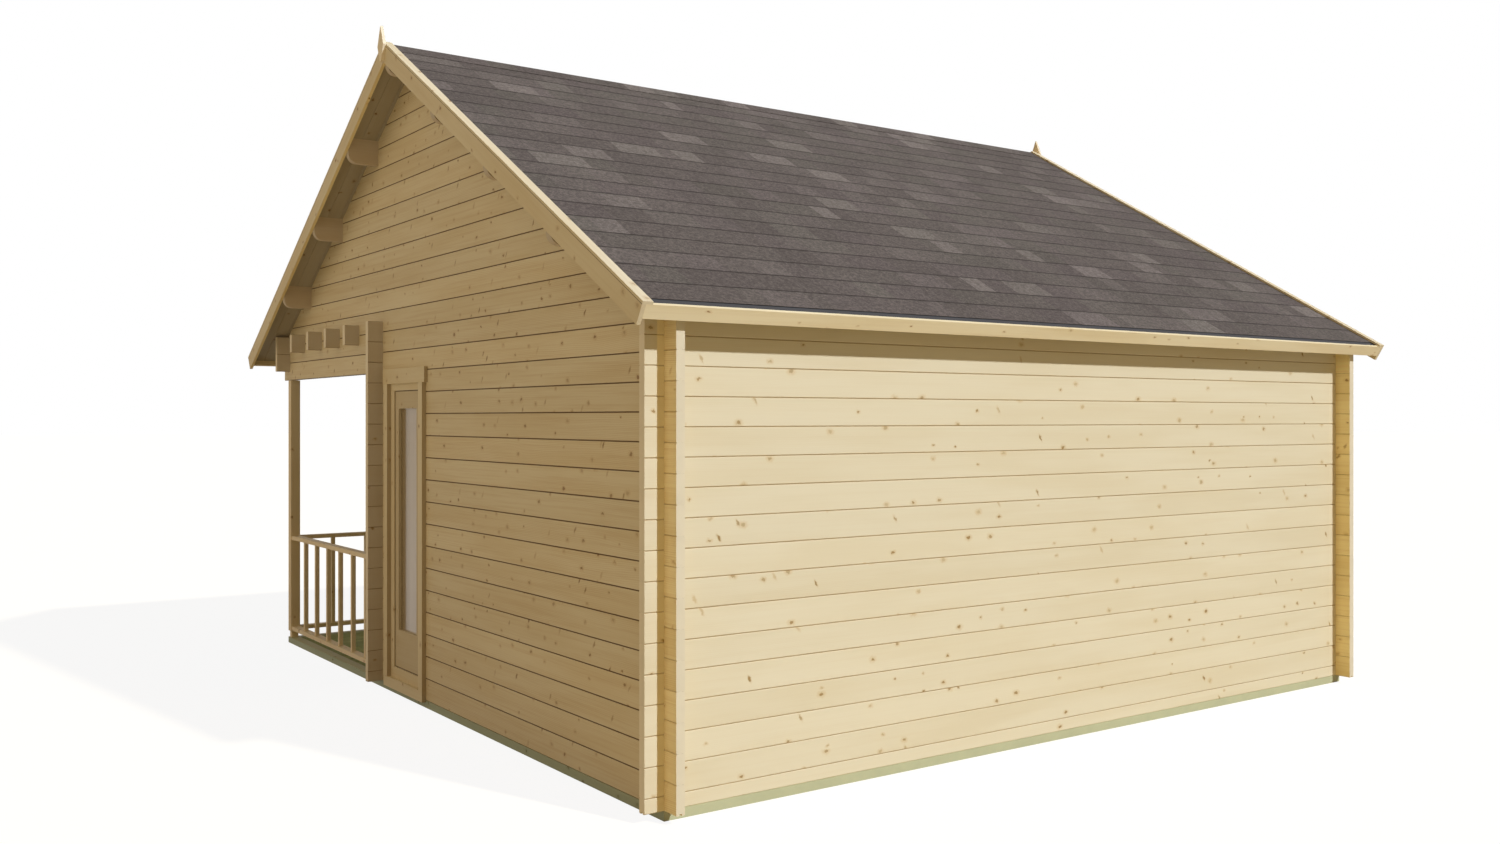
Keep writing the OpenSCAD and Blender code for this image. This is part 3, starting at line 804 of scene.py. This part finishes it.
def ridge_pieces():
    """Strips folded over the ridge, side by side along it, thin at their lower edges."""
    draw = random.Random(RIDGE_SEED)
    pile = Pile()
    low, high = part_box("ridge_cap")
    under = SHINGLE_TOP - CLEARANCE
    thin = under - RIDGE_EDGE
    apex, inner_apex = [(0.0, RIDGE_TOP - depth / math.cos(PITCH)) for depth in (RIDGE_CAP_TOP, under)]
    for edges in equal_parts(low[0], high[0], RIDGE_PIECE):
        ends = []
        for x in edges:
            rear = [on_slope(1, x, RIDGE_CAP_EDGE, depth) for depth in (thin, under)]
            front = [on_slope(-1, x, RIDGE_CAP_EDGE, depth) for depth in (under, thin)]
            ends.append([*rear, (x, *inner_apex), *front, (x, *apex)])
        pile.prism(*ends, tab_tone(draw))
    pile.piece("ridge_shingles", shingle, "shingle", "ridge_cap")


# Roof boards: their width, the gap between two, and the size of the bevels at a joint
ROOF_BOARD = 0.0902
BOARD_JOINT = 0.0004
V_EDGE = 0.003


def roof_boards(side, name, node):
    """Matched boards from the ridge to the eave, with a V along each joint underneath."""
    draw = random.Random(BOARD_SEED + side)
    pile = Pile()
    low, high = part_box(node)
    for start, end in equal_parts(low[0], high[0], ROOF_BOARD):
        left = start + BOARD_JOINT / 2
        right = end - BOARD_JOINT / 2
        outline = [(left, BOARD_TOP), (right, BOARD_TOP), (right, BOARD_UNDER - V_EDGE),
                   (right - V_EDGE, BOARD_UNDER), (left + V_EDGE, BOARD_UNDER), (left, BOARD_UNDER - V_EDGE)]
        top = [on_slope(side, x, depth * math.tan(PITCH) + CLEARANCE, depth) for x, depth in outline]
        foot = [on_slope(side, x, BOARD_EDGE, depth) for x, depth in outline]
        pile.prism(top, foot, draw.random())
    pile.piece(name, board_slope, "board_wood", node)


def floor_boards(name, node, material, slot, width, joint, edge):
    """Boards along the building, with a gap at each joint and bevelled upper edges."""
    draw = random.Random(name)
    pile = Pile()
    low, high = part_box(node)
    bevel = high[2] - edge
    for start, end in equal_parts(low[1], high[1], width):
        near = start + joint / 2
        far = end - joint / 2
        outline = [(near, low[2]), (far, low[2]), (far, bevel), (far - edge, high[2]),
                   (near + edge, high[2]), (near, bevel)]
        ends = [[(x, y, z) for y, z in outline] for x in (low[0], high[0])]
        pile.prism(*ends, draw.random())
    pile.piece(name, material, slot, node)


shingle_courses(1, "rear_shingle_courses", "rear_shingles")
shingle_courses(-1, "front_shingle_courses", "front_shingles")
ridge_pieces()
roof_boards(1, "rear_matched_boards", "rear_roof_boards")
roof_boards(-1, "front_matched_boards", "front_roof_boards")
floor_boards("deck_planks", "veranda_deck", deck_green, "treated_wood", width=0.12, joint=0.006, edge=0.003)
floor_boards("floor_planks", "room_floor", board_x, "board_wood", width=0.096, joint=0.0004, edge=0.002)

# The floor: its size and level, the colour that it throws back, and the white that shows
FLOOR_HALF = 150.0
FLOOR_LEVEL = -0.0005
FLOOR_COLOR = (0.54, 0.44, 0.27, 1.0)
FLOOR_ROUGHNESS = 0.9
FLOOR_SPECULAR = 0.1
FLOOR_WHITE = (0.97, 0.985, 1.0, 1.0)
FLOOR_WHITE_STRENGTH = 1.46
FLOOR_WHITE_SHARE = 0.62


def floor_material():
    """Pale floor: nearly white to the camera, with the object's shadow kept."""
    s = Shader("pale_floor")
    s.surface(FLOOR_COLOR, FLOOR_ROUGHNESS, FLOOR_SPECULAR)
    white = s.add("Emission", {"Color": FLOOR_WHITE, "Strength": FLOOR_WHITE_STRENGTH}).outputs[0]
    share = s.times(s.seen(), FLOOR_WHITE_SHARE)
    mixed = s.add("MixShader", {0: share, 1: s.bsdf.outputs[0], 2: white}).outputs[0]
    s.put(s.tree.nodes["Material Output"].inputs["Surface"], mixed)
    return s.material


def make_floor():
    """One wide face just under the object."""
    mesh = bpy.data.meshes.new("studio_floor")
    sides = ((-1, -1), (1, -1), (1, 1), (-1, 1))
    corners = [(x * FLOOR_HALF, y * FLOOR_HALF, FLOOR_LEVEL) for x, y in sides]
    mesh.from_pydata(corners, [], [[0, 1, 2, 3]])
    mesh.materials.append(floor_material())
    studio_floor = bpy.data.objects.new("studio_floor", mesh)
    bpy.context.collection.objects.link(studio_floor)


def sun(name, to_light, energy, spread, color):
    """A lamp that shines from one direction, softened over an angle in degrees."""
    data = bpy.data.lights.new(name, "SUN")
    data.energy = energy
    data.angle = math.radians(spread)
    data.color = color
    lamp = bpy.data.objects.new(name, data)
    lamp.rotation_euler = Vector(to_light).to_track_quat("Z", "Y").to_euler()
    bpy.context.collection.objects.link(lamp)


# The surround: the warm light that it gives, and the white that shows behind the object
SURROUND_COLOR = (1.0, 0.79, 0.475, 1.0)
SURROUND_STRENGTH = 0.15
BACKDROP_COLOR = (1.0, 1.0, 1.0, 1.0)
BACKDROP_STRENGTH = 1.0


def make_surround():
    """Even light from all sides, with a white backdrop."""
    world = bpy.data.worlds.new("surround")
    world.use_nodes = True
    bpy.context.scene.world = world
    sky = NodeTree(world.node_tree)
    light = sky.tree.nodes["Background"]
    sky.put(light.inputs["Color"], SURROUND_COLOR)
    sky.put(light.inputs["Strength"], SURROUND_STRENGTH)
    backdrop = sky.add("Background", {"Color": BACKDROP_COLOR, "Strength": BACKDROP_STRENGTH})
    mixed = sky.add("MixShader", {0: sky.seen(), 1: light.outputs[0], 2: backdrop.outputs[0]})
    sky.put(sky.tree.nodes["World Output"].inputs["Surface"], mixed.outputs[0])


# The camera, at the photograph's place and angle. The picture's width, the focal length and the horizon's
# height above the middle are in pixels, and the sensor's width is in millimetres.
IMAGE_WIDTH = 1500
FOCAL_PIXELS = 1312.7
HORIZON_ABOVE_MIDDLE = 3.9
SENSOR_WIDTH = 36.0
CAMERA_PLACE = (5.6855, 7.831, 1.772)
CAMERA_LOOK = (-0.57795, -0.81607, 0.0)


def make_camera():
    """A level camera that is shifted up or down to place the horizon."""
    data = bpy.data.cameras.new("camera")
    data.sensor_width = SENSOR_WIDTH
    data.lens = SENSOR_WIDTH * FOCAL_PIXELS / IMAGE_WIDTH
    data.shift_y = -HORIZON_ABOVE_MIDDLE / IMAGE_WIDTH
    camera = bpy.data.objects.new("camera", data)
    camera.location = CAMERA_PLACE
    camera.rotation_euler = Vector(CAMERA_LOOK).to_track_quat("-Z", "Y").to_euler()
    bpy.context.collection.objects.link(camera)
    bpy.context.scene.camera = camera


make_floor()

# A soft key on the rear wall and roof, and a wide warm fill on the gable
sun("key", to_light=(-0.365, 1.0, 0.81), energy=2.7, spread=2.0, color=(1.0, 1.06, 1.20))
sun("fill", to_light=(1.0, 0.1, 0.35), energy=0.58, spread=80.0, color=(1.0, 0.772, 0.505))
make_surround()
make_camera()

bpy.context.scene.view_settings.view_transform = "Standard"
